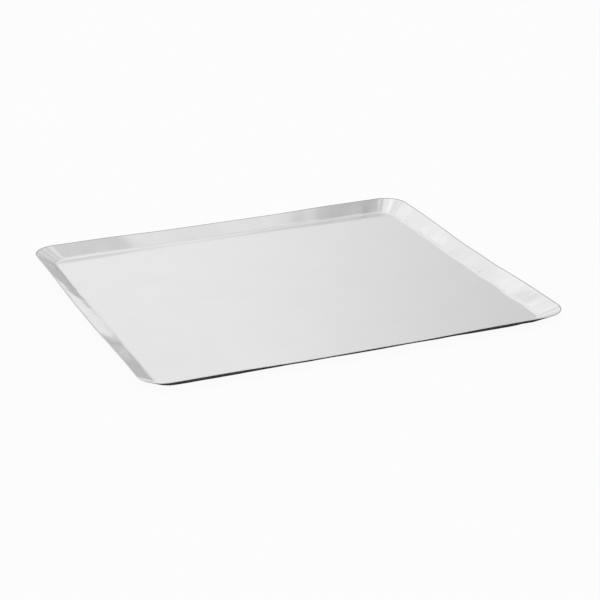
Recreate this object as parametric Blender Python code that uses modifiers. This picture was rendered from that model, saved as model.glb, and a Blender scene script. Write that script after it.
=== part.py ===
# Pastry display tray: one shallow pan pressed from a single sheet of stainless steel.
#
# Metres, +Z up. +X runs along the long sides, and the origin is the centre of the underside.
# The pan is drawn as the outer face of the sheet, which Solidify then gives its thickness.

import math
from collections import namedtuple

import bmesh
import bpy
from mathutils import Vector

# Size over the rim, at the middle of the sides and before the cut edge is eased
TRAY_LENGTH = 0.354
TRAY_WIDTH = 0.328
# From the underside of the floor to the top of the rim, at the corners
TRAY_HEIGHT = 0.0100

SHEET_THICKNESS = 0.0008
# Inside radius of the bend from floor to wall
BEND_RADIUS = 0.0072
# Corners seen from above: where the floor ends, and where the rim's outer edge runs
FLOOR_CORNER_RADIUS = 0.010
RIM_CORNER_RADIUS = 0.021
# Rounding of the deburred cut edge that runs round the rim
EDGE_EASE = 0.0003

# The sides flare up from the floor's plane by this angle. They spring open after the press,
# so midway between two corners a wall lies flatter, by the spring given for its side. Going from
# the middle of a side (0) to its corner (1), the spring fades away between its two places.
WALL_ANGLE = math.radians(31.5)
LONG_WALL_SPRING = math.radians(3.4)
LONG_WALL_FADE = (0.27, 0.76)
SHORT_WALL_SPRING = math.radians(6.5)
SHORT_WALL_FADE = (0.15, 0.8)

# Fineness of the mesh
CORNER_STEPS = 12
SIDE_STEPS = 18
BEND_STEPS = 5
EDGE_STEPS = 2

STEEL_COLOR = (0.62, 0.62, 0.61, 1.0)
STEEL_ROUGHNESS = 0.22

# The outer face of the sheet bends round the inside radius plus the sheet
OUTER_BEND_RADIUS = BEND_RADIUS + SHEET_THICKNESS
# Height of the rim's lower edge at the corners, and the slope length that brings a side up to it
RIM_EDGE_HEIGHT = TRAY_HEIGHT - SHEET_THICKNESS * math.cos(WALL_ANGLE)
WALL_SLOPE = (
    RIM_EDGE_HEIGHT - OUTER_BEND_RADIUS * (1.0 - math.cos(WALL_ANGLE))
) / math.sin(WALL_ANGLE)

UP = Vector((0.0, 0.0, 1.0))
# One place round the tray: the floor's edge, the way out from it seen from above, the angle
# that the wall flares by there, and the rim's lower edge
Station = namedtuple("Station", ["floor", "outward", "angle", "rim"])


def clear_scene():
    for obj in list(bpy.data.objects):
        bpy.data.objects.remove(obj, do_unlink=True)


def bend_point(angle):
    """Where the bend's outer face lies once it has turned by this angle: (outward, upward)."""
    outward = OUTER_BEND_RADIUS * math.sin(angle)
    upward = OUTER_BEND_RADIUS * (1.0 - math.cos(angle))
    return outward, upward


def side_rim(angle):
    """Rim's lower edge on a side flared by this angle: (outward, upward) from the floor's edge."""
    outward, upward = bend_point(angle)
    return outward + WALL_SLOPE * math.cos(angle), upward + WALL_SLOPE * math.sin(angle)


def corner_angle(reach):
    """Angle that brings a corner's wall to the rim's height this far out from the floor's edge."""
    drop = OUTER_BEND_RADIUS - RIM_EDGE_HEIGHT
    return math.asin(OUTER_BEND_RADIUS / math.hypot(reach, drop)) - math.atan2(drop, reach)


def spring_share(along, fade):
    """Share of a side's spring at this part of the way along it."""
    start, end = fade
    faded = (abs(2.0 * along - 1.0) - start) / (end - start)
    faded = min(max(faded, 0.0), 1.0)
    return 1.0 - faded * faded * (3.0 - 2.0 * faded)


def arc_centres(half_length, half_width, radius):
    """Centres of the four corner arcs of a rounded rectangle, anticlockwise from +X +Y."""
    x = half_length - radius
    y = half_width - radius
    return [Vector(place) for place in ((x, y, 0.0), (-x, y, 0.0), (-x, -y, 0.0), (x, -y, 0.0))]


def wall_stations():
    """Stations round the tray, anticlockwise: a corner, then the side after it, four times."""
    end_reach, _ = side_rim(WALL_ANGLE)
    half_length = TRAY_LENGTH / 2 - side_rim(WALL_ANGLE - SHORT_WALL_SPRING)[0]
    half_width = TRAY_WIDTH / 2 - side_rim(WALL_ANGLE - LONG_WALL_SPRING)[0]
    floor_centres = arc_centres(half_length, half_width, FLOOR_CORNER_RADIUS)
    rim_centres = arc_centres(half_length + end_reach, half_width + end_reach, RIM_CORNER_RADIUS)
    springs = [(LONG_WALL_SPRING, LONG_WALL_FADE), (SHORT_WALL_SPRING, SHORT_WALL_FADE)] * 2

    stations = []
    for corner in range(4):
        following = (corner + 1) % 4
        for step in range(CORNER_STEPS + 1):
            heading = math.radians(90.0) * (corner + step / CORNER_STEPS)
            outward = Vector((math.cos(heading), math.sin(heading), 0.0))
            floor = floor_centres[corner] + outward * FLOOR_CORNER_RADIUS
            rim = rim_centres[corner] + outward * RIM_CORNER_RADIUS
            angle = corner_angle((rim - floor).dot(outward))
            stations.append(Station(floor, outward, angle, rim + UP * RIM_EDGE_HEIGHT))

        # the straight side to the next corner keeps the last heading
        next_floor = floor_centres[following] + outward * FLOOR_CORNER_RADIUS
        next_rim = rim_centres[following] + outward * RIM_CORNER_RADIUS
        spring, fade = springs[corner]
        for step in range(1, SIDE_STEPS):
            along = step / SIDE_STEPS
            angle = WALL_ANGLE - spring * spring_share(along, fade)
            reach, rise = side_rim(angle)
            straight_rim = rim.lerp(next_rim, along)
            sprung_rim = straight_rim + outward * (reach - end_reach) + UP * rise
            stations.append(Station(floor.lerp(next_floor, along), outward, angle, sprung_rim))
    return stations


def wall_place(station, level):
    """Outer face of the sheet at one level of a station: the bend's steps, then the rim."""
    if level > BEND_STEPS:
        return station.rim
    outward, upward = bend_point(station.angle * level / BEND_STEPS)
    return station.floor + station.outward * outward + UP * upward


def extrude_ring(bm, ring):
    """Extrude a closed ring of vertices once and return the new ring in the same order."""
    edges = [bm.edges.get((ring[index - 1], vert)) for index, vert in enumerate(ring)]
    grown = bmesh.ops.extrude_edge_only(bm, edges=edges)["geom"]
    fresh = {item for item in grown if isinstance(item, bmesh.types.BMVert)}
    new_ring = []
    for vert in ring:
        neighbours = [edge.other_vert(vert) for edge in vert.link_edges]
        new_ring.append(next(other for other in neighbours if other in fresh))
    return new_ring


def steel_material():
    material = bpy.data.materials.new("stainless_steel")
    material.use_nodes = True
    shader = material.node_tree.nodes["Principled BSDF"]
    shader.inputs["Base Color"].default_value = STEEL_COLOR
    shader.inputs["Metallic"].default_value = 1.0
    shader.inputs["Roughness"].default_value = STEEL_ROUGHNESS
    return material


def tray_pan(collection):
    """The pressed pan: flat floor, bend and flared walls, in one sheet."""
    stations = wall_stations()
    bm = bmesh.new()
    ring = [bm.verts.new(station.floor) for station in stations]
    # the outer face of the sheet looks down here and outwards in the walls
    bm.faces.new(reversed(ring))
    for level in range(1, BEND_STEPS + 2):
        ring = extrude_ring(bm, ring)
        for vert, station in zip(ring, stations):
            vert.co = wall_place(station, level)

    mesh = bpy.data.meshes.new("tray_pan")
    bm.to_mesh(mesh)
    bm.free()
    mesh.shade_smooth()
    mesh.set_sharp_from_angle(angle=math.radians(40.0))
    mesh.materials.append(steel_material())
    pan = bpy.data.objects.new("tray_pan", mesh)
    collection.objects.link(pan)

    sheet = pan.modifiers.new("sheet", "SOLIDIFY")
    sheet.thickness = SHEET_THICKNESS
    sheet.offset = -1.0
    sheet.use_even_offset = True

    eased = pan.modifiers.new("eased_edge", "BEVEL")
    eased.width = min(EDGE_EASE, 0.4 * SHEET_THICKNESS)
    eased.segments = EDGE_STEPS
    eased.limit_method = "ANGLE"
    eased.angle_limit = math.radians(60.0)
    return pan


def main():
    clear_scene()
    collection = bpy.data.collections.new("pastry_display_tray")
    bpy.context.scene.collection.children.link(collection)
    tray_pan(collection)


main()
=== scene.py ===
# %% [markdown]
# # A pastry display tray
#
# The real tray is one sheet of stainless steel, pressed to a flat floor with low flared walls.
# This lesson loads the measured frame, draws the sheet again with Geometry Nodes, finishes it as
# bright annealed steel and stands it in a pale studio.

# %% Load the frame
import math

import bpy
from mathutils import Matrix, Vector


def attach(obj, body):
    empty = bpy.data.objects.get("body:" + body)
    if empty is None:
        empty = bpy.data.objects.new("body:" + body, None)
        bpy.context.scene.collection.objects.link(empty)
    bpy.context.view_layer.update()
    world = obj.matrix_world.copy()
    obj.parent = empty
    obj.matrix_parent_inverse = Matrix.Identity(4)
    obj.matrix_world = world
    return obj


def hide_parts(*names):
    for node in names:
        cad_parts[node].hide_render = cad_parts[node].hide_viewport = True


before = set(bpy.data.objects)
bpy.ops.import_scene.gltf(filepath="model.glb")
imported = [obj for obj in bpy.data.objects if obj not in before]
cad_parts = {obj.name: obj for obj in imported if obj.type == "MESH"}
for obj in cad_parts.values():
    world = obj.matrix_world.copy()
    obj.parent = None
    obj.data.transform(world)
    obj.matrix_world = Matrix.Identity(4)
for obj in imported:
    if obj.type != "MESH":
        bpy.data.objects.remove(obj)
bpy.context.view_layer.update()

# %% [markdown]
# ## The camera
#
# The tray was photographed from about one and a half metres away, a little to the left of its
# front and looking down by 21 degrees. A long lens flattens the perspective, so the far side looks
# almost as wide as the near one. The camera could be placed by eye, but its distance, lens and
# angles were worked out from where the rim and the floor's outline lie in the photograph.

# %% Camera
AIM = Vector((0.0010, -0.0260, 0.0))
CAMERA_DISTANCE = 1.5522
CAMERA_HEADING = math.radians(21.94)
CAMERA_PITCH = math.radians(21.27)
CAMERA_ROLL = math.radians(-0.90)
# the sensor and the lens are in millimetres
SENSOR_WIDTH = 36.0
FOCAL_LENGTH = 113.10
CLIP_NEAR = 0.05
CLIP_FAR = 60.0

facing = (
    Matrix.Rotation(-CAMERA_HEADING, 4, "Z")
    @ Matrix.Rotation(math.radians(90.0) - CAMERA_PITCH, 4, "X")
    @ Matrix.Rotation(CAMERA_ROLL, 4, "Z")
)
lens = bpy.data.cameras.new("photo_camera")
lens.sensor_width = SENSOR_WIDTH
lens.lens = FOCAL_LENGTH
lens.clip_start = CLIP_NEAR
lens.clip_end = CLIP_FAR
camera = bpy.data.objects.new("photo_camera", lens)
bpy.context.scene.collection.objects.link(camera)
camera_place = AIM + facing.to_3x3() @ Vector((0, 0, CAMERA_DISTANCE))
camera.matrix_world = Matrix.Translation(camera_place) @ facing
bpy.context.scene.camera = camera
print("camera at", [round(value, 3) for value in camera.matrix_world.translation])

# %% [markdown]
# ## One helper for every node
#
# Geometry, material and world trees are all built from the same few steps: add a node, choose its
# settings, fill its inputs. Written out each time, the steps would hide what a tree does, so one
# small function does them. An input takes a plain value, or another node, in which case it is
# linked. It goes by its name or its number. The number is needed where several inputs share a name:
# a Map Range goes from 1 and 2 to 3 and 4, and a Mix node mixes numbers 2 and 3, vectors 4 and 5 or
# colours 6 and 7.

# %% Node helper
def add_node(tree, kind, inputs=(), **settings):
    """Add a node with its settings, and give each input, by name or number, a value or a link."""
    node = tree.nodes.new(kind)
    for name, value in settings.items():
        setattr(node, name, value)
    for key, value in dict(inputs).items():
        if isinstance(value, bpy.types.Node):
            value = value.outputs[0]
        if isinstance(value, bpy.types.NodeSocket):
            tree.links.new(value, node.inputs[key])
        else:
            node.inputs[key].default_value = value
    return node


print("add_node is ready for the geometry, the materials and the world")

# %% [markdown]
# ## The sizes of the pressed sheet
#
# The sheet is 0.8 mm thick. Its underside is drawn first, so every radius here is that of the outer
# face. The walls flare by 31.5 degrees at both ends of a side. Midway along it, where the sheet
# springs open after the press, they lie a few degrees flatter. The sizes could be measured off the
# CAD solid, but typed in under plain names they can be read and changed. They are those of the CAD
# source, with the rim drawn a few tenths of a millimetre smaller, so that its ripples stay inside
# the solid's box.

# %% Sizes
SHEET_THICKNESS = 0.0008
BEND_RADIUS = 0.0080
RIM_LENGTH = 0.3535
RIM_WIDTH = 0.3277
TRAY_HEIGHT = 0.00999
WALL_ANGLE = math.radians(31.5)
LONG_SPRING = math.radians(3.4)
SHORT_SPRING = math.radians(6.5)
# going from the middle of a side (0) to its end (1), the spring fades away between two places
LONG_FADE = (0.27, 0.76)
SHORT_FADE = (0.15, 0.80)

RIM_HEIGHT = TRAY_HEIGHT - SHEET_THICKNESS * math.cos(WALL_ANGLE)
WALL_SLOPE = (RIM_HEIGHT - BEND_RADIUS * (1 - math.cos(WALL_ANGLE))) / math.sin(WALL_ANGLE)


def wall_reach(angle):
    """How far a straight wall's rim stands out from the floor's edge."""
    return BEND_RADIUS * math.sin(angle) + WALL_SLOPE * math.cos(angle)


# the bend's ripple is a share of its radius, and the edge's ripple and the dents are in metres
pan_sizes = {
    "Half Length": RIM_LENGTH / 2 - wall_reach(WALL_ANGLE - SHORT_SPRING),
    "Half Width": RIM_WIDTH / 2 - wall_reach(WALL_ANGLE - LONG_SPRING),
    "Floor Corner": 0.010,
    "Rim Corner": 0.021,
    "Rim Reach": wall_reach(WALL_ANGLE),
    "Rim Height": RIM_HEIGHT,
    "Bend Radius": BEND_RADIUS,
    "Long Spring": LONG_SPRING,
    "Short Spring": SHORT_SPRING,
    "Bend Ripple": 0.22,
    "Edge Ripple": 0.0012,
    "Side Dents": 0.00007,
    "Corner Dents": 0.00010,
    "Ripple Seed": 2.0,
}
print("floor, mm:", [round(2000 * pan_sizes[name], 2) for name in ("Half Length", "Half Width")])

# %% [markdown]
# ## A tree that draws the sheet
#
# The pan could be modelled by hand, but it follows one rule all the way round, so Geometry Nodes
# draw it from a plain grid. One side of the grid runs round the tray and the other from the middle
# of the floor out to the rim. The tree starts with its inputs and the grid, and turns the grid's UV
# map into two counts: how far round the tray a point is, and which ring it belongs to.

# %% Start the tree
QUARTERS = 4
CORNER_STEPS = 24
SIDE_STEPS = 204
FLOOR_RINGS = 6
BEND_RINGS = 12
WALL_RINGS = 9

tree = bpy.data.node_groups.new("pressed_pan", "GeometryNodeTree")
socket_ids = {}
for name in pan_sizes:
    socket = tree.interface.new_socket(name, in_out="INPUT", socket_type="NodeSocketFloat")
    socket_ids[name] = socket.identifier
steel_socket = tree.interface.new_socket("Steel", in_out="INPUT", socket_type="NodeSocketMaterial")
tree.interface.new_socket("Geometry", in_out="OUTPUT", socket_type="NodeSocketGeometry")
given = add_node(tree, "NodeGroupInput").outputs

quarter_steps = CORNER_STEPS + SIDE_STEPS
station_count = QUARTERS * quarter_steps
ring_count = FLOOR_RINGS + BEND_RINGS + WALL_RINGS
grid = add_node(tree, "GeometryNodeMeshGrid", {
    "Size X": 1.0, "Size Y": 1.0, "Vertices X": station_count + 1, "Vertices Y": ring_count + 1,
})
on_grid = add_node(tree, "ShaderNodeSeparateXYZ", {0: grid.outputs["UV Map"]}).outputs
turn = add_node(tree, "ShaderNodeMath", {0: on_grid["X"], 1: float(QUARTERS)}, operation="MULTIPLY")
quarter = add_node(tree, "ShaderNodeMath", {0: turn}, operation="FLOOR")
within = add_node(tree, "ShaderNodeMath", {0: turn}, operation="FRACT")
ring = add_node(tree, "ShaderNodeMath", {0: on_grid["Y"], 1: float(ring_count)}, operation="MULTIPLY")
print("grid of", station_count, "stations by", ring_count, "rings")

# %% [markdown]
# ## Round one quarter
#
# Every quarter of the tray is a corner arc and then a straight side. The four could be written one
# by one, but the rule is the same, so it is written for one quarter and turned about the middle for
# the others. The sides differ in length, so the half sizes swap from one quarter to the next. The
# heading is the way straight out of the floor's edge. Along a side it stays as it is, and the arc's
# centre slides over to the next corner, from 1 to -1 times its first place.

# %% Place on the floor's edge and on the rim
corner_share = CORNER_STEPS / quarter_steps
heading = add_node(tree, "ShaderNodeMapRange", {0: within, 2: corner_share, 4: math.radians(90.0)})
across = add_node(tree, "ShaderNodeMapRange", {0: within, 1: corner_share, 3: 1.0, 4: -1.0})
odd = add_node(tree, "ShaderNodeMath", {0: quarter, 1: 2.0}, operation="FLOORED_MODULO")
long_first = add_node(tree, "ShaderNodeCombineXYZ", {
    0: given["Half Length"], 1: given["Half Width"], 2: given["Long Spring"],
})
short_first = add_node(tree, "ShaderNodeCombineXYZ", {
    0: given["Half Width"], 1: given["Half Length"], 2: given["Short Spring"],
})
side_sizes = add_node(tree, "ShaderNodeMix", {
    "Factor": odd, 4: long_first, 5: short_first,
}, data_type="VECTOR").outputs[1]
side_spring = add_node(tree, "ShaderNodeSeparateXYZ", {0: side_sizes}).outputs["Z"]

heading_cos = add_node(tree, "ShaderNodeMath", {0: heading}, operation="COSINE")
heading_sin = add_node(tree, "ShaderNodeMath", {0: heading}, operation="SINE")
outward = add_node(tree, "ShaderNodeCombineXYZ", {0: heading_cos, 1: heading_sin})
slide = add_node(tree, "ShaderNodeCombineXYZ", {0: across, 1: 1.0})

edges = {}
for edge, corner_name, reach_name in (("floor", "Floor Corner", None), ("rim", "Rim Corner", "Rim Reach")):
    radius = given[corner_name]
    inset = radius
    if reach_name:
        inset = add_node(tree, "ShaderNodeMath", {0: radius, 1: given[reach_name]}, operation="SUBTRACT")
    corner = add_node(tree, "ShaderNodeVectorMath", {0: side_sizes, 1: inset}, operation="SUBTRACT")
    arc_centre = add_node(tree, "ShaderNodeVectorMath", {0: corner, 1: slide}, operation="MULTIPLY")
    arc_arm = add_node(tree, "ShaderNodeVectorMath", {0: outward, "Scale": radius}, operation="SCALE")
    edges[edge] = add_node(tree, "ShaderNodeVectorMath", {0: arc_centre, 1: arc_arm}, operation="ADD")
print("edges found:", ", ".join(edges))

# %% [markdown]
# ## Ripples left by the press
#
# No press folds thin sheet evenly: the bend is tighter here and rounder there, its line wavers by
# about a millimetre, and the walls have dents of up to about a tenth of one. Metal this bright shows
# them at once, as wavering reflections. They could be sculpted, but noise is quicker and can be
# tuned. Three noise textures drive them, all read at a point's place on the floor's edge, so the
# ripples close up all the way round. The line wavers most, and the dents are deepest, at the right
# wall, which looks the most worn. The seed is an input, so every run gives the same tray.

# %% Ripples
BEND_RIPPLE_LENGTH = 0.034
EDGE_RIPPLE_LENGTH = 0.026
DENT_LENGTH = 0.010
# the noise seldom leaves this range, which is stretched to the swing that is wanted
NOISE_RANGE = (0.3, 0.7)
# the wear grows from its least share to the whole between these two places along X
WEAR_STARTS = 0.10
WEAR_FULL = 0.158
LEAST_WEAR = 0.15

quarter_angle = add_node(tree, "ShaderNodeMath", {0: quarter, 1: math.radians(90.0)}, operation="MULTIPLY")
edge_place = add_node(tree, "ShaderNodeVectorRotate", {
    "Vector": edges["floor"], "Angle": quarter_angle,
}, rotation_type="Z_AXIS")
swings = []
for length, seed_step in ((BEND_RIPPLE_LENGTH, 0.0), (EDGE_RIPPLE_LENGTH, 5.0), (DENT_LENGTH, 9.0)):
    seed = add_node(tree, "ShaderNodeMath", {0: given["Ripple Seed"], 1: seed_step}, operation="ADD")
    noise = add_node(tree, "ShaderNodeTexNoise", {
        "Vector": edge_place, "W": seed, "Scale": 1 / length, "Detail": 1.0,
    }, noise_dimensions="4D")
    swings.append(add_node(tree, "ShaderNodeMapRange", {
        0: noise, 1: NOISE_RANGE[0], 2: NOISE_RANGE[1], 3: -1.0, 4: 1.0,
    }, clamp=False))
bend_swing, edge_swing, dent_swing = swings

bend_ripple = add_node(tree, "ShaderNodeMath", {
    0: bend_swing, 1: given["Bend Ripple"], 2: 1.0,
}, operation="MULTIPLY_ADD")
bend_radius = add_node(tree, "ShaderNodeMath", {
    0: bend_ripple, 1: given["Bend Radius"],
}, operation="MULTIPLY")

edge_x = add_node(tree, "ShaderNodeSeparateXYZ", {0: edge_place}).outputs["X"]
worn = add_node(tree, "ShaderNodeMapRange", {
    0: edge_x, 1: WEAR_STARTS, 2: WEAR_FULL, 3: LEAST_WEAR, 4: 1.0,
}, interpolation_type="SMOOTHSTEP")
worn_edge = add_node(tree, "ShaderNodeMath", {0: worn, 1: given["Edge Ripple"]}, operation="MULTIPLY")
edge_ripple = add_node(tree, "ShaderNodeMath", {0: edge_swing, 1: worn_edge}, operation="MULTIPLY")
edge_push = add_node(tree, "ShaderNodeVectorMath", {0: outward, "Scale": edge_ripple}, operation="SCALE")
edges["floor"] = add_node(tree, "ShaderNodeVectorMath", {0: edges["floor"], 1: edge_push}, operation="ADD")
print("ripples from", len(swings), "noises, with seed", pan_sizes["Ripple Seed"])

# %% [markdown]
# ## How far the wall leans
#
# Round a corner the rim's arc is tighter than the floor's edge would ask for, so its middle stands
# farther out and the wall there lies flatter. One angle for the whole wall would miss the rim. So
# each angle comes from the bend's circle and the rim's place. Along a side the sheet's spring is
# then taken off: all of it round the middle, and less and less towards the corners.

# %% Flare angle
gap = add_node(tree, "ShaderNodeVectorMath", {0: edges["rim"], 1: edges["floor"]}, operation="SUBTRACT")
gap_outward = add_node(tree, "ShaderNodeVectorMath", {0: gap, 1: outward}, operation="DOT_PRODUCT")
reach = gap_outward.outputs["Value"]
drop = add_node(tree, "ShaderNodeMath", {0: bend_radius, 1: given["Rim Height"]}, operation="SUBTRACT")
reach_squared = add_node(tree, "ShaderNodeMath", {0: reach, 1: reach}, operation="MULTIPLY")
span_squared = add_node(tree, "ShaderNodeMath", {
    0: drop, 1: drop, 2: reach_squared,
}, operation="MULTIPLY_ADD")
span = add_node(tree, "ShaderNodeMath", {0: span_squared}, operation="SQRT")
bend_part = add_node(tree, "ShaderNodeMath", {0: bend_radius, 1: span}, operation="DIVIDE")
bend_angle = add_node(tree, "ShaderNodeMath", {0: bend_part}, operation="ARCSINE")
drop_angle = add_node(tree, "ShaderNodeMath", {0: drop, 1: reach}, operation="ARCTAN2")
pressed_angle = add_node(tree, "ShaderNodeMath", {0: bend_angle, 1: drop_angle}, operation="SUBTRACT")

from_middle = add_node(tree, "ShaderNodeMath", {0: across}, operation="ABSOLUTE")
fade_start = add_node(tree, "ShaderNodeMix", {"Factor": odd, 2: LONG_FADE[0], 3: SHORT_FADE[0]})
fade_end = add_node(tree, "ShaderNodeMix", {"Factor": odd, 2: LONG_FADE[1], 3: SHORT_FADE[1]})
spring_share = add_node(tree, "ShaderNodeMapRange", {
    0: from_middle, 1: fade_start, 2: fade_end, 3: 1.0, 4: 0.0,
}, interpolation_type="SMOOTHSTEP")
spring_back = add_node(tree, "ShaderNodeMath", {0: spring_share, 1: side_spring}, operation="MULTIPLY")
angle = add_node(tree, "ShaderNodeMath", {0: pressed_angle, 1: spring_back}, operation="SUBTRACT")
flattest = [round(math.degrees(WALL_ANGLE - spring), 1) for spring in (LONG_SPRING, SHORT_SPRING)]
print("flare midway along a long and a short side, in degrees:", flattest)

# %% [markdown]
# ## The section of the sheet
#
# Seen in section the sheet is flat, turns up round the bend and runs straight out to the rim. Each
# of the three parts has its own rings, with a share that grows from 0 to 1 across the part. Evenly
# spread rings would do for the outline, but these crowd towards the floor's edge and the rim, which
# keeps the smooth shading of the bend and of the cut edge from spilling over the flat metal.

# %% Rings of the floor, the bend and the wall
# 1 spreads the rings evenly, and more than 1 crowds them towards the end of their part
FLOOR_CROWDING = 3.0
BEND_CROWDING = 1.0
WALL_CROWDING = 1.6

shares = []
for first, count, crowding in (
    (0, FLOOR_RINGS, FLOOR_CROWDING),
    (FLOOR_RINGS, BEND_RINGS, BEND_CROWDING),
    (FLOOR_RINGS + BEND_RINGS, WALL_RINGS, WALL_CROWDING),
):
    to_go = add_node(tree, "ShaderNodeMapRange", {
        0: ring, 1: float(first), 2: float(first + count), 3: 1.0, 4: 0.0,
    })
    crowded = add_node(tree, "ShaderNodeMath", {0: to_go, 1: crowding}, operation="POWER")
    shares.append(add_node(tree, "ShaderNodeMath", {0: 1.0, 1: crowded}, operation="SUBTRACT"))
floor_share, bend_share, wall_share = shares

radius_squared = add_node(tree, "ShaderNodeMath", {0: bend_radius, 1: 2.0}, operation="POWER")
slope_squared = add_node(tree, "ShaderNodeMath", {0: span_squared, 1: radius_squared}, operation="SUBTRACT")
slope = add_node(tree, "ShaderNodeMath", {0: slope_squared}, operation="SQRT")

places = {}
for name, turned, straight in (
    ("bend", add_node(tree, "ShaderNodeMath", {0: angle, 1: bend_share}, operation="MULTIPLY"), None),
    ("rim", angle, slope),
):
    sine = add_node(tree, "ShaderNodeMath", {0: turned}, operation="SINE")
    cosine = add_node(tree, "ShaderNodeMath", {0: turned}, operation="COSINE")
    out = add_node(tree, "ShaderNodeMath", {0: sine, 1: bend_radius}, operation="MULTIPLY")
    lift = add_node(tree, "ShaderNodeMath", {0: 1.0, 1: cosine}, operation="SUBTRACT")
    up = add_node(tree, "ShaderNodeMath", {0: lift, 1: bend_radius}, operation="MULTIPLY")
    if straight:
        out = add_node(tree, "ShaderNodeMath", {0: cosine, 1: straight, 2: out}, operation="MULTIPLY_ADD")
        out = add_node(tree, "ShaderNodeMath", {0: out, 1: reach}, operation="SUBTRACT")
        up = add_node(tree, "ShaderNodeMath", {0: sine, 1: straight, 2: up}, operation="MULTIPLY_ADD")
    pushed = add_node(tree, "ShaderNodeVectorMath", {0: outward, "Scale": out}, operation="SCALE")
    raised = add_node(tree, "ShaderNodeCombineXYZ", {2: up})
    places[name] = add_node(tree, "ShaderNodeVectorMath", {0: pushed, 1: raised}, operation="ADD")
print("rings:", FLOOR_RINGS, "on the floor,", BEND_RINGS, "in the bend,", WALL_RINGS, "up the wall")

# %% [markdown]
# ## Put the points in place
#
# A floor point is a shrunken copy of the floor's edge, and a wall point lies between the bend's end
# and the rim. The dents then lift or sink a point by a little: not at all on the floor, the most
# in the lower part of the wall and not at all at the rim, so the floor stays flat and the rim
# smooth. A Displace modifier could dent the tray too, but it does not know where the wall begins.
# Last, each quarter is turned into its own corner of the tray.

# %% Points of one quarter
# from the middle of a side (0) to its end (1), the dents deepen from this place on
CORNER_ZONE = 0.6
# from the start of the bend (0) over its end (1) to the rim (2), the dents lie between two places
DENTS_START = 0.3
DENTS_END = 2.0

flat_part = add_node(tree, "ShaderNodeVectorMath", {
    0: edges["floor"], "Scale": floor_share,
}, operation="SCALE")
bent_part = add_node(tree, "ShaderNodeVectorMath", {0: flat_part, 1: places["bend"]}, operation="ADD")
rim_part = add_node(tree, "ShaderNodeVectorMath", {0: edges["rim"], 1: places["rim"]}, operation="ADD")
pressed = add_node(tree, "ShaderNodeMix", {
    "Factor": wall_share, 4: bent_part, 5: rim_part,
}, data_type="VECTOR").outputs[1]

deepest_dent = add_node(tree, "ShaderNodeMapRange", {
    0: from_middle, 1: CORNER_ZONE, 3: given["Side Dents"], 4: given["Corner Dents"],
}, interpolation_type="SMOOTHSTEP")
up_wall = add_node(tree, "ShaderNodeMath", {0: bend_share, 1: wall_share}, operation="ADD")
half_wave = add_node(tree, "ShaderNodeMapRange", {0: up_wall, 1: DENTS_START, 2: DENTS_END, 4: math.pi})
swell = add_node(tree, "ShaderNodeMath", {0: half_wave}, operation="SINE")
dent_depth = add_node(tree, "ShaderNodeMath", {0: deepest_dent, 1: swell}, operation="MULTIPLY")
worn_swing = add_node(tree, "ShaderNodeMath", {0: dent_swing, 1: worn}, operation="MULTIPLY")
dent = add_node(tree, "ShaderNodeMath", {0: dent_depth, 1: worn_swing}, operation="MULTIPLY")
dent_lift = add_node(tree, "ShaderNodeCombineXYZ", {2: dent})
dented = add_node(tree, "ShaderNodeVectorMath", {0: pressed, 1: dent_lift}, operation="ADD")
turned_place = add_node(tree, "ShaderNodeVectorRotate", {
    "Vector": dented, "Angle": quarter_angle,
}, rotation_type="Z_AXIS")
print("dents of about", round(1000 * pan_sizes["Corner Dents"], 2), "mm in the corners")

# %% [markdown]
# ## Close the sheet
#
# The grid is moved to those places. It then closes on itself: the two ends of the strip meet, and
# so do all the points in the middle of the floor. They could be left lying on each other, but the
# shading would show a seam, so they are merged. The tree also stores how far across the section
# each point is, from 0 to 1 on the floor, to 2 round the bend and to 3 at the rim, for the material.

# %% Finish the tree
MERGE_DISTANCE = 0.00001

set_place = add_node(tree, "GeometryNodeSetPosition", {
    "Geometry": grid.outputs["Mesh"], "Position": turned_place,
})
to_bend_end = add_node(tree, "ShaderNodeMath", {0: floor_share, 1: bend_share}, operation="ADD")
section = add_node(tree, "ShaderNodeMath", {0: to_bend_end, 1: wall_share}, operation="ADD")
marked = add_node(tree, "GeometryNodeStoreNamedAttribute", {
    "Geometry": set_place, "Name": "section", "Value": section,
}, data_type="FLOAT", domain="POINT")
closed = add_node(tree, "GeometryNodeMergeByDistance", {"Geometry": marked, "Distance": MERGE_DISTANCE})
smooth = add_node(tree, "GeometryNodeSetShadeSmooth", {"Geometry": closed})
real = add_node(tree, "GeometryNodeRealizeInstances", {"Geometry": smooth})
steeled = add_node(tree, "GeometryNodeSetMaterial", {"Geometry": real, "Material": given["Steel"]})
add_node(tree, "NodeGroupOutput", {"Geometry": steeled})
print("pressed_pan tree:", len(tree.nodes), "nodes")

# %% [markdown]
# ## Bright annealed stainless steel
#
# Catering trays are pressed from stainless sheet that was rolled between polished rolls and annealed
# out of the air, which leaves it bright. To the eye it is a neutral grey mirror with the faintest
# softness: 0.7 of the light comes back, and edges in the reflection blur by a pixel. A picture of
# steel would freeze its reflections, so a metallic Principled shader makes them. Its colour is the
# reflectance and its roughness is the blur.

# %% Steel
CLEAN_STEEL = "#DDDDDD"
HAZED_STEEL = "#D8D8D8"


def from_hex(colour):
    """Linear RGBA from an sRGB hex colour."""
    values = [int(colour[place:place + 2], 16) / 255 for place in (1, 3, 5)]
    return [v / 12.92 if v <= 0.04045 else ((v + 0.055) / 1.055) ** 2.4 for v in values] + [1.0]


steel = bpy.data.materials.new("bright_annealed_stainless")
steel.use_nodes = True
surface = steel.node_tree
metal = surface.nodes["Principled BSDF"]
metal.inputs["Metallic"].default_value = 1.0
position = add_node(surface, "ShaderNodeTexCoord").outputs["Object"]
print("steel reflects", [round(from_hex(colour)[0], 2) for colour in (CLEAN_STEEL, HAZED_STEEL)])

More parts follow.
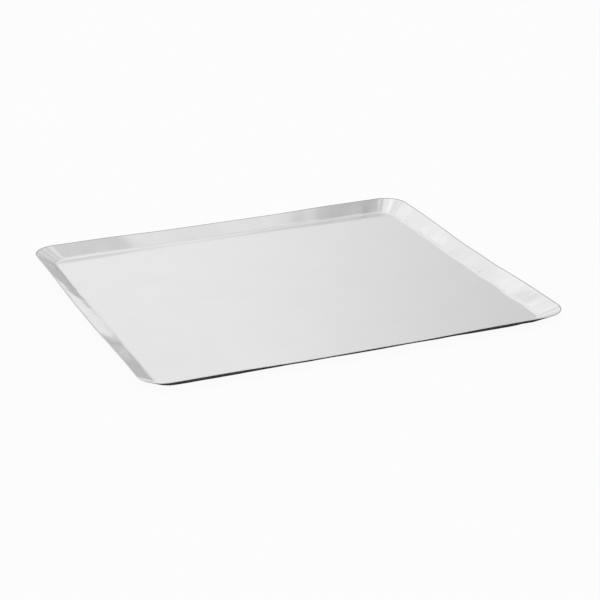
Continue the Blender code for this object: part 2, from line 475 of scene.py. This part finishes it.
# %% [markdown]
# ## Rolling lines and hairline scratches
#
# The rolls leave fine lines along the sheet, and stacking and wiping add a few hairline scratches.
# The real ones are some 0.05 mm wide. A pixel is 0.8 mm here, so they would not show, and they are
# drawn eight to ten times as wide. Each could be drawn as a line, but noise that is stretched along
# one direction gives hundreds at once. A Mapping node in texture mode turns the pattern first and
# then divides by a size, so its scale reads as the length and width of one line in metres.

# %% Rolling lines and scratches
ROLLING_LINE = (0.045, 0.0005, 0.0005)
SCRATCH = (0.016, 0.0004, 0.0004)
SCRATCH_TURNS = [math.radians(degrees) for degrees in (17, -38, 74)]
# only the crests of the noise are scratches, which begin and are full at these heights
CREST_BEGINS = 0.72
CREST_FULL = 0.78

line_frame = add_node(surface, "ShaderNodeMapping", {
    "Vector": position, "Scale": ROLLING_LINE,
}, vector_type="TEXTURE")
rolling = add_node(surface, "ShaderNodeTexNoise", {"Vector": line_frame, "Scale": 1.0, "Detail": 2.0})

scratches = 0.0
for scratch_turn in SCRATCH_TURNS:
    scratch_frame = add_node(surface, "ShaderNodeMapping", {
        "Vector": position, "Rotation": (0.0, 0.0, scratch_turn), "Scale": SCRATCH,
    }, vector_type="TEXTURE")
    streaks = add_node(surface, "ShaderNodeTexNoise", {
        "Vector": scratch_frame, "Scale": 1.0, "Detail": 0.0,
    })
    sparse = add_node(surface, "ShaderNodeMapRange", {0: streaks, 1: CREST_BEGINS, 2: CREST_FULL})
    scratches = add_node(surface, "ShaderNodeMath", {0: sparse, 1: scratches}, operation="MAXIMUM")
print("rolling lines along X, and scratches in", len(SCRATCH_TURNS), "directions")

# %% [markdown]
# ## Haze, the drawn bend and the cut edge
#
# Handling leaves a haze in patches a few centimetres wide. The die drags on the metal where it
# bends, which dulls it a little. The rim was sheared and deburred: a strip of somewhat less than a
# millimetre beside it is ground and rougher than the rolled face. That strip is also painted much
# darker than steel is, a painted shade that stands in for the dark line the rim's edge reflects.
# The cut face itself is bright.
# Each could be a material of its own, with a hard border. Here one material reads the stored
# section, and a zone comes in softly between two of its values.

# %% Haze, bend and edge
HAZE_SIZE = 0.04
SECTION_ZONES = {
    "bend starts": (0.99, 1.4),
    "bend ends": (1.7, 2.3),
    # the ground strip beside the rim: rougher, and also painted darker as shade for the rim's dark line
    "ground and painted dark line": (2.94, 2.96),
    "cut face": (2.985, 2.997),
}

haze = add_node(surface, "ShaderNodeTexNoise", {
    "Vector": position, "Scale": 1 / HAZE_SIZE, "Detail": 4.0, "Distortion": 0.5,
})
across_section = add_node(surface, "ShaderNodeAttribute", attribute_name="section").outputs["Fac"]
zones = {}
for zone, (start, full) in SECTION_ZONES.items():
    zones[zone] = add_node(surface, "ShaderNodeMapRange", {
        0: across_section, 1: start, 2: full,
    }, interpolation_type="SMOOTHSTEP")
drawn = add_node(surface, "ShaderNodeMath", {
    0: zones["bend starts"], 1: zones["bend ends"],
}, operation="SUBTRACT")
print("zones of the section:", ", ".join(zones))

# %% [markdown]
# ## Put the finish together
#
# Used steel is nowhere equally smooth, and one flat roughness would look like chromed plastic. So
# everything found above adds to it, each by its own small amount. The colour dims with the haze.
# In the ground strip at the rim it is painted darker, as painted shade for the rim's dark line.
# The lines and the scratches also tilt the surface through a Bump node, by a few thousandths of a
# millimetre.

# %% Roughness, colour and relief
POLISH = 0.04
ADDED_ROUGHNESS = (
    (rolling, 0.02),
    (haze, 0.05),
    (scratches, 0.1),
    (drawn, 0.05),
    (zones["ground and painted dark line"], 0.2),
)
# painted shade: this colour is much darker than steel is, and stands in for the dark line the rim's edge
# reflects
PAINTED_DARK_RIM_STEEL = "#989898"
CUT_STEEL = "#DEDEDE"
LINE_HEIGHT = 0.000005

roughness = POLISH
for pattern, amount in ADDED_ROUGHNESS:
    roughness = add_node(surface, "ShaderNodeMath", {
        0: pattern, 1: amount, 2: roughness,
    }, operation="MULTIPLY_ADD")
surface.links.new(roughness.outputs[0], metal.inputs["Roughness"])

rolled_colour = add_node(surface, "ShaderNodeMix", {
    "Factor": haze, 6: from_hex(CLEAN_STEEL), 7: from_hex(HAZED_STEEL),
}, data_type="RGBA").outputs[2]
# painted shade: the ground strip at the rim gets the dark colour, and the cut face gets plain bright steel
painted_line_and_cut_colour = add_node(surface, "ShaderNodeMix", {
    "Factor": zones["cut face"], 6: from_hex(PAINTED_DARK_RIM_STEEL), 7: from_hex(CUT_STEEL),
}, data_type="RGBA").outputs[2]
steel_and_painted_line_colour = add_node(surface, "ShaderNodeMix", {
    "Factor": zones["ground and painted dark line"], 6: rolled_colour, 7: painted_line_and_cut_colour,
}, data_type="RGBA").outputs[2]
surface.links.new(steel_and_painted_line_colour, metal.inputs["Base Color"])

relief = add_node(surface, "ShaderNodeMath", {0: rolling, 1: scratches}, operation="SUBTRACT")
tilt = add_node(surface, "ShaderNodeBump", {"Height": relief, "Strength": 1.0, "Distance": LINE_HEIGHT})
surface.links.new(tilt.outputs[0], metal.inputs["Normal"])
print("steel tree:", len(surface.nodes), "nodes")

# %% [markdown]
# ## Press the pan
#
# The tree runs on an empty mesh. It could draw the inner face too, but Solidify gives the sheet its
# thickness more simply, inwards from the face that was drawn, and Bevel eases the cut edge round
# the rim as deburring does. The result is kept as a plain mesh with no modifiers on it.

# %% Pan
EDGE_EASE = 0.00034
EDGE_SEGMENTS = 4
# only the rim's two edges turn by more than this
SHARP_ANGLE = math.radians(60.0)

pressing = bpy.data.objects.new("pressing", bpy.data.meshes.new("pressing"))
bpy.context.scene.collection.objects.link(pressing)
nodes = pressing.modifiers.new("pressed_pan", "NODES")
nodes.node_group = tree
for name, value in pan_sizes.items():
    nodes[socket_ids[name]] = value
nodes[steel_socket.identifier] = steel
sheet = pressing.modifiers.new("sheet", "SOLIDIFY")
sheet.thickness = SHEET_THICKNESS
sheet.offset = -1.0
sheet.use_even_offset = True
eased = pressing.modifiers.new("eased_edge", "BEVEL")
eased.width = EDGE_EASE
eased.segments = EDGE_SEGMENTS
eased.limit_method = "ANGLE"
eased.angle_limit = SHARP_ANGLE

evaluated = pressing.evaluated_get(bpy.context.evaluated_depsgraph_get())
pan = bpy.data.objects.new("pressed_pan", bpy.data.meshes.new_from_object(evaluated))
bpy.data.objects.remove(pressing)
bpy.context.scene.collection.objects.link(pan)
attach(pan, "root")
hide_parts("tray_pan")
triangle_count = sum(len(face.vertices) - 2 for face in pan.data.polygons)
print("pan:", len(pan.data.vertices), "vertices,", triangle_count, "triangles")

# %% [markdown]
# ## The studio floor
#
# The tray stands on a plain matt sweep of paper. It could be a deep backdrop with a curve, but the
# camera looks down far enough to see nothing else, so one large square will do. It lies a hair below
# the underside, so that the two faces don't fight.

# %% Studio floor
FLOOR_REACH = 20.0
FLOOR_DROP = 0.00005
PAPER_GREY = "#BCBCBC"
PAPER_ROUGHNESS = 0.9

floor_mesh = bpy.data.meshes.new("studio_floor")
floor_corners = [
    (-FLOOR_REACH, -FLOOR_REACH, -FLOOR_DROP),
    (FLOOR_REACH, -FLOOR_REACH, -FLOOR_DROP),
    (FLOOR_REACH, FLOOR_REACH, -FLOOR_DROP),
    (-FLOOR_REACH, FLOOR_REACH, -FLOOR_DROP),
]
floor_mesh.from_pydata(floor_corners, [], [(0, 1, 2, 3)])
floor = bpy.data.objects.new("studio_floor", floor_mesh)
bpy.context.scene.collection.objects.link(floor)

pale = bpy.data.materials.new("matt_paper_sweep")
pale.use_nodes = True
floor_mesh.materials.append(pale)
paper = pale.node_tree
matt = paper.nodes["Principled BSDF"]
matt.inputs["Base Color"].default_value = from_hex(PAPER_GREY)
matt.inputs["Roughness"].default_value = PAPER_ROUGHNESS
print("floor:", 2 * FLOOR_REACH, "metres square, paper of", PAPER_GREY)

# %% [markdown]
# ## White paper without more light
#
# The paper has to look white, and enough light for that would wash out the tray. So a Light Path
# node shows it almost wholly as plain white to the camera, and in the metal where that mirrors open
# paper. What is left is the real paper, which keeps the tray's soft shadow. In the last three
# centimetres before the rim the white fades from what the metal mirrors, so the outside of the walls
# stays as dark as it is over real paper.

# %% White for the camera
WHITE_SHARE = 0.95
# half of the length and of the width over the rim, and how far from it the paper counts as open
HALF_RIM = (0.354 / 2, 0.328 / 2, 0.0)
OPEN_DISTANCE = 0.03

floor_place = add_node(paper, "ShaderNodeTexCoord").outputs["Object"]
off_middle = add_node(paper, "ShaderNodeVectorMath", {0: floor_place}, operation="ABSOLUTE")
off_rim = add_node(paper, "ShaderNodeVectorMath", {0: off_middle, 1: HALF_RIM}, operation="SUBTRACT")
beyond = add_node(paper, "ShaderNodeVectorMath", {0: off_rim, 1: (0.0, 0.0, 0.0)}, operation="MAXIMUM")
distance = add_node(paper, "ShaderNodeVectorMath", {0: beyond}, operation="LENGTH").outputs["Value"]
open_floor = add_node(paper, "ShaderNodeMapRange", {
    0: distance, 2: OPEN_DISTANCE,
}, interpolation_type="SMOOTHSTEP")

# a ray that passed through glass would count like one that metal threw back
paths = add_node(paper, "ShaderNodeLightPath").outputs
in_metal = add_node(paper, "ShaderNodeMath", {
    0: paths["Is Glossy Ray"], 1: paths["Is Transmission Ray"],
}, operation="ADD")
in_open = add_node(paper, "ShaderNodeMath", {0: in_metal, 1: open_floor}, operation="MULTIPLY")
shown = add_node(paper, "ShaderNodeMath", {0: paths["Is Camera Ray"], 1: in_open}, operation="MAXIMUM")
share = add_node(paper, "ShaderNodeMath", {0: shown, 1: WHITE_SHARE}, operation="MULTIPLY")
white = add_node(paper, "ShaderNodeEmission", {"Strength": 1.0})
backed = add_node(paper, "ShaderNodeMixShader", {0: share, 1: matt, 2: white})
paper.links.new(backed.outputs[0], paper.nodes["Material Output"].inputs["Surface"])
print("paper tree:", len(paper.nodes), "nodes")

# %% [markdown]
# ## The room
#
# Bright metal shows its surroundings, so the studio is what gives this tray its greys. The room
# could be built of lamps and cards, but drawn in the world it reaches every view without standing
# in front of a camera. It is bright overhead and dims lower down and to the right. Except near the
# horizon, the metal never finds it darker than a mid grey, so that the tray looks like steel from
# every side. The X, Y and Z used here are the parts of a direction that is 1 long.

# %% Room
ROOM_DIM_Z = 0.30
ROOM_BRIGHT_Z = 0.80
ROOM_DIM = 0.06
ROOM_BRIGHT = 1.18
SHADE_X = 0.6
SHADE_DEPTH = 0.775
MID_GREY_STARTS_Z = 0.06
MID_GREY_FULL_Z = 0.20
MID_GREY = 0.52
DARKEST = 0.03

world = bpy.data.worlds.new("studio")
bpy.context.scene.world = world
world.use_nodes = True
sky = world.node_tree
direction = add_node(sky, "ShaderNodeTexCoord").outputs["Generated"]
way = add_node(sky, "ShaderNodeSeparateXYZ", {0: direction}).outputs

room_height = add_node(sky, "ShaderNodeMapRange", {
    0: way["Z"], 1: ROOM_DIM_Z, 2: ROOM_BRIGHT_Z, 3: ROOM_DIM, 4: ROOM_BRIGHT,
})
room_side = add_node(sky, "ShaderNodeMapRange", {0: way["X"], 2: SHADE_X, 4: SHADE_DEPTH})
shaded_room = add_node(sky, "ShaderNodeMath", {0: room_height, 1: room_side}, operation="SUBTRACT")
mid_grey = add_node(sky, "ShaderNodeMapRange", {
    0: way["Z"], 1: MID_GREY_STARTS_Z, 2: MID_GREY_FULL_Z, 4: MID_GREY,
}, interpolation_type="SMOOTHSTEP")
for_metal = add_node(sky, "ShaderNodeLightPath").outputs["Is Glossy Ray"]
least = add_node(sky, "ShaderNodeMath", {0: mid_grey, 1: for_metal, 2: DARKEST}, operation="MULTIPLY_ADD")
room = add_node(sky, "ShaderNodeMath", {0: shaded_room, 1: least}, operation="MAXIMUM")
print("room from", ROOM_DIM, "low down to", ROOM_BRIGHT, "overhead, where 1 is white")

# %% [markdown]
# ## The tent behind the tray
#
# A tent of white cloth stands behind the tray, and the metal throws it back as a pale grey. Its
# upper part hangs in soft folds. A plain white half would be simpler, but steel that mirrors one
# flat tone looks like paper. The folds are noise, and they run out to the right.

# %% Tent
TENT_STARTS_Y = 0.148
TENT_FULL_Y = 0.185
TENT_WHITE = 1.08
FOLD_SCALE = 9.0
FOLD_DEPTH = 0.09
FOLDS_START_Z = 0.36
FOLDS_FULL_Z = 0.46
FOLDS_END_X = 0.45
FOLDS_FULL_X = 0.30

fold_noise = add_node(sky, "ShaderNodeTexNoise", {"Vector": direction, "Scale": FOLD_SCALE, "Detail": 1.0})
folds = add_node(sky, "ShaderNodeMapRange", {
    0: fold_noise, 1: NOISE_RANGE[0], 2: NOISE_RANGE[1], 3: -FOLD_DEPTH, 4: FOLD_DEPTH,
})
folds_up = add_node(sky, "ShaderNodeMapRange", {
    0: way["Z"], 1: FOLDS_START_Z, 2: FOLDS_FULL_Z,
}, interpolation_type="SMOOTHSTEP")
folds_left = add_node(sky, "ShaderNodeMapRange", {
    0: way["X"], 1: FOLDS_END_X, 2: FOLDS_FULL_X,
}, interpolation_type="SMOOTHSTEP")
folded = add_node(sky, "ShaderNodeMath", {0: folds_up, 1: folds_left}, operation="MULTIPLY")
tent = add_node(sky, "ShaderNodeMath", {0: folds, 1: folded, 2: TENT_WHITE}, operation="MULTIPLY_ADD")

behind = add_node(sky, "ShaderNodeMapRange", {
    0: way["Y"], 1: TENT_STARTS_Y, 2: TENT_FULL_Y,
}, interpolation_type="SMOOTHSTEP")
level = add_node(sky, "ShaderNodeMix", {"Factor": behind, 2: room, 3: tent})
print("tent at", TENT_WHITE, "with folds of", FOLD_DEPTH)

# %% [markdown]
# ## Patches of light and shade
#
# A photographer tunes the greys of bright metal with soft boxes, which add light, and with flags,
# which take it away. Each patch here is one of them: a round spot about one direction, even in its
# core and fading out to its edge. Where it hangs comes from following a ray from the camera by way
# of a light or dark place on the tray. A gradient painted by hand could do the same, but a list of
# patches can be read, and each can be moved on its own.

# %% Patches
# in degrees: from straight behind round to the right, up, the core's radius and the edge's, and
# then how much light it adds
PATCHES = {
    "flag behind right": (54, 14, 14, 36, -0.34),
    "glow low behind": (24.5, 2, 2, 3.5, 0.09),
    "dim low behind": (30, 3.5, 2.2, 3.6, -0.3),
    "dim behind right": (31, 32, 4, 9, -0.2),
    "dim above right": (45, 50, 5, 14, -0.24),
    "glow behind left": (-3, 31, 2, 12, 0.08),
    "box above behind": (15, 34, 4, 10, 0.08),
    "box behind right": (41, 29, 3, 9, 0.14),
    "box above right": (50, 45, 2, 6.5, 0.17),
    "dim behind left": (5, 27, 2, 7, -0.1),
    "dim overhead": (44, 73.5, 1, 4, -0.25),
    "dim in the right bend": (17.5, 28.5, 1.5, 4.5, -0.12),
    "glow above behind": (-8, 65, 4, 9, 0.14),
    "box before the front rim": (153, 43, 8, 15, 1.4),
    "key high before left": (215, 55, 12, 30, 0.9),
}

for name, (azimuth, elevation, core, edge, change) in PATCHES.items():
    east, height = math.radians(azimuth), math.radians(elevation)
    centre = (math.sin(east) * math.cos(height), math.cos(east) * math.cos(height), math.sin(height))
    nearness = add_node(sky, "ShaderNodeVectorMath", {0: direction, 1: centre}, operation="DOT_PRODUCT")
    patch = add_node(sky, "ShaderNodeMapRange", {
        0: nearness.outputs["Value"],
        1: math.cos(math.radians(edge)),
        2: math.cos(math.radians(core)),
        4: change,
    }, interpolation_type="SMOOTHSTEP", label=name)
    level = add_node(sky, "ShaderNodeMath", {0: level, 1: patch}, operation="ADD")

lit = add_node(sky, "ShaderNodeMath", {0: level, 1: 0.0}, operation="MAXIMUM")
background = sky.nodes["Background"]
background.inputs["Color"].default_value = (1, 1, 1, 1)
sky.links.new(lit.outputs[0], background.inputs["Strength"])
bpy.context.scene.view_settings.view_transform = "Standard"
print("world tree:", len(sky.nodes), "nodes, with", len(PATCHES), "patches")
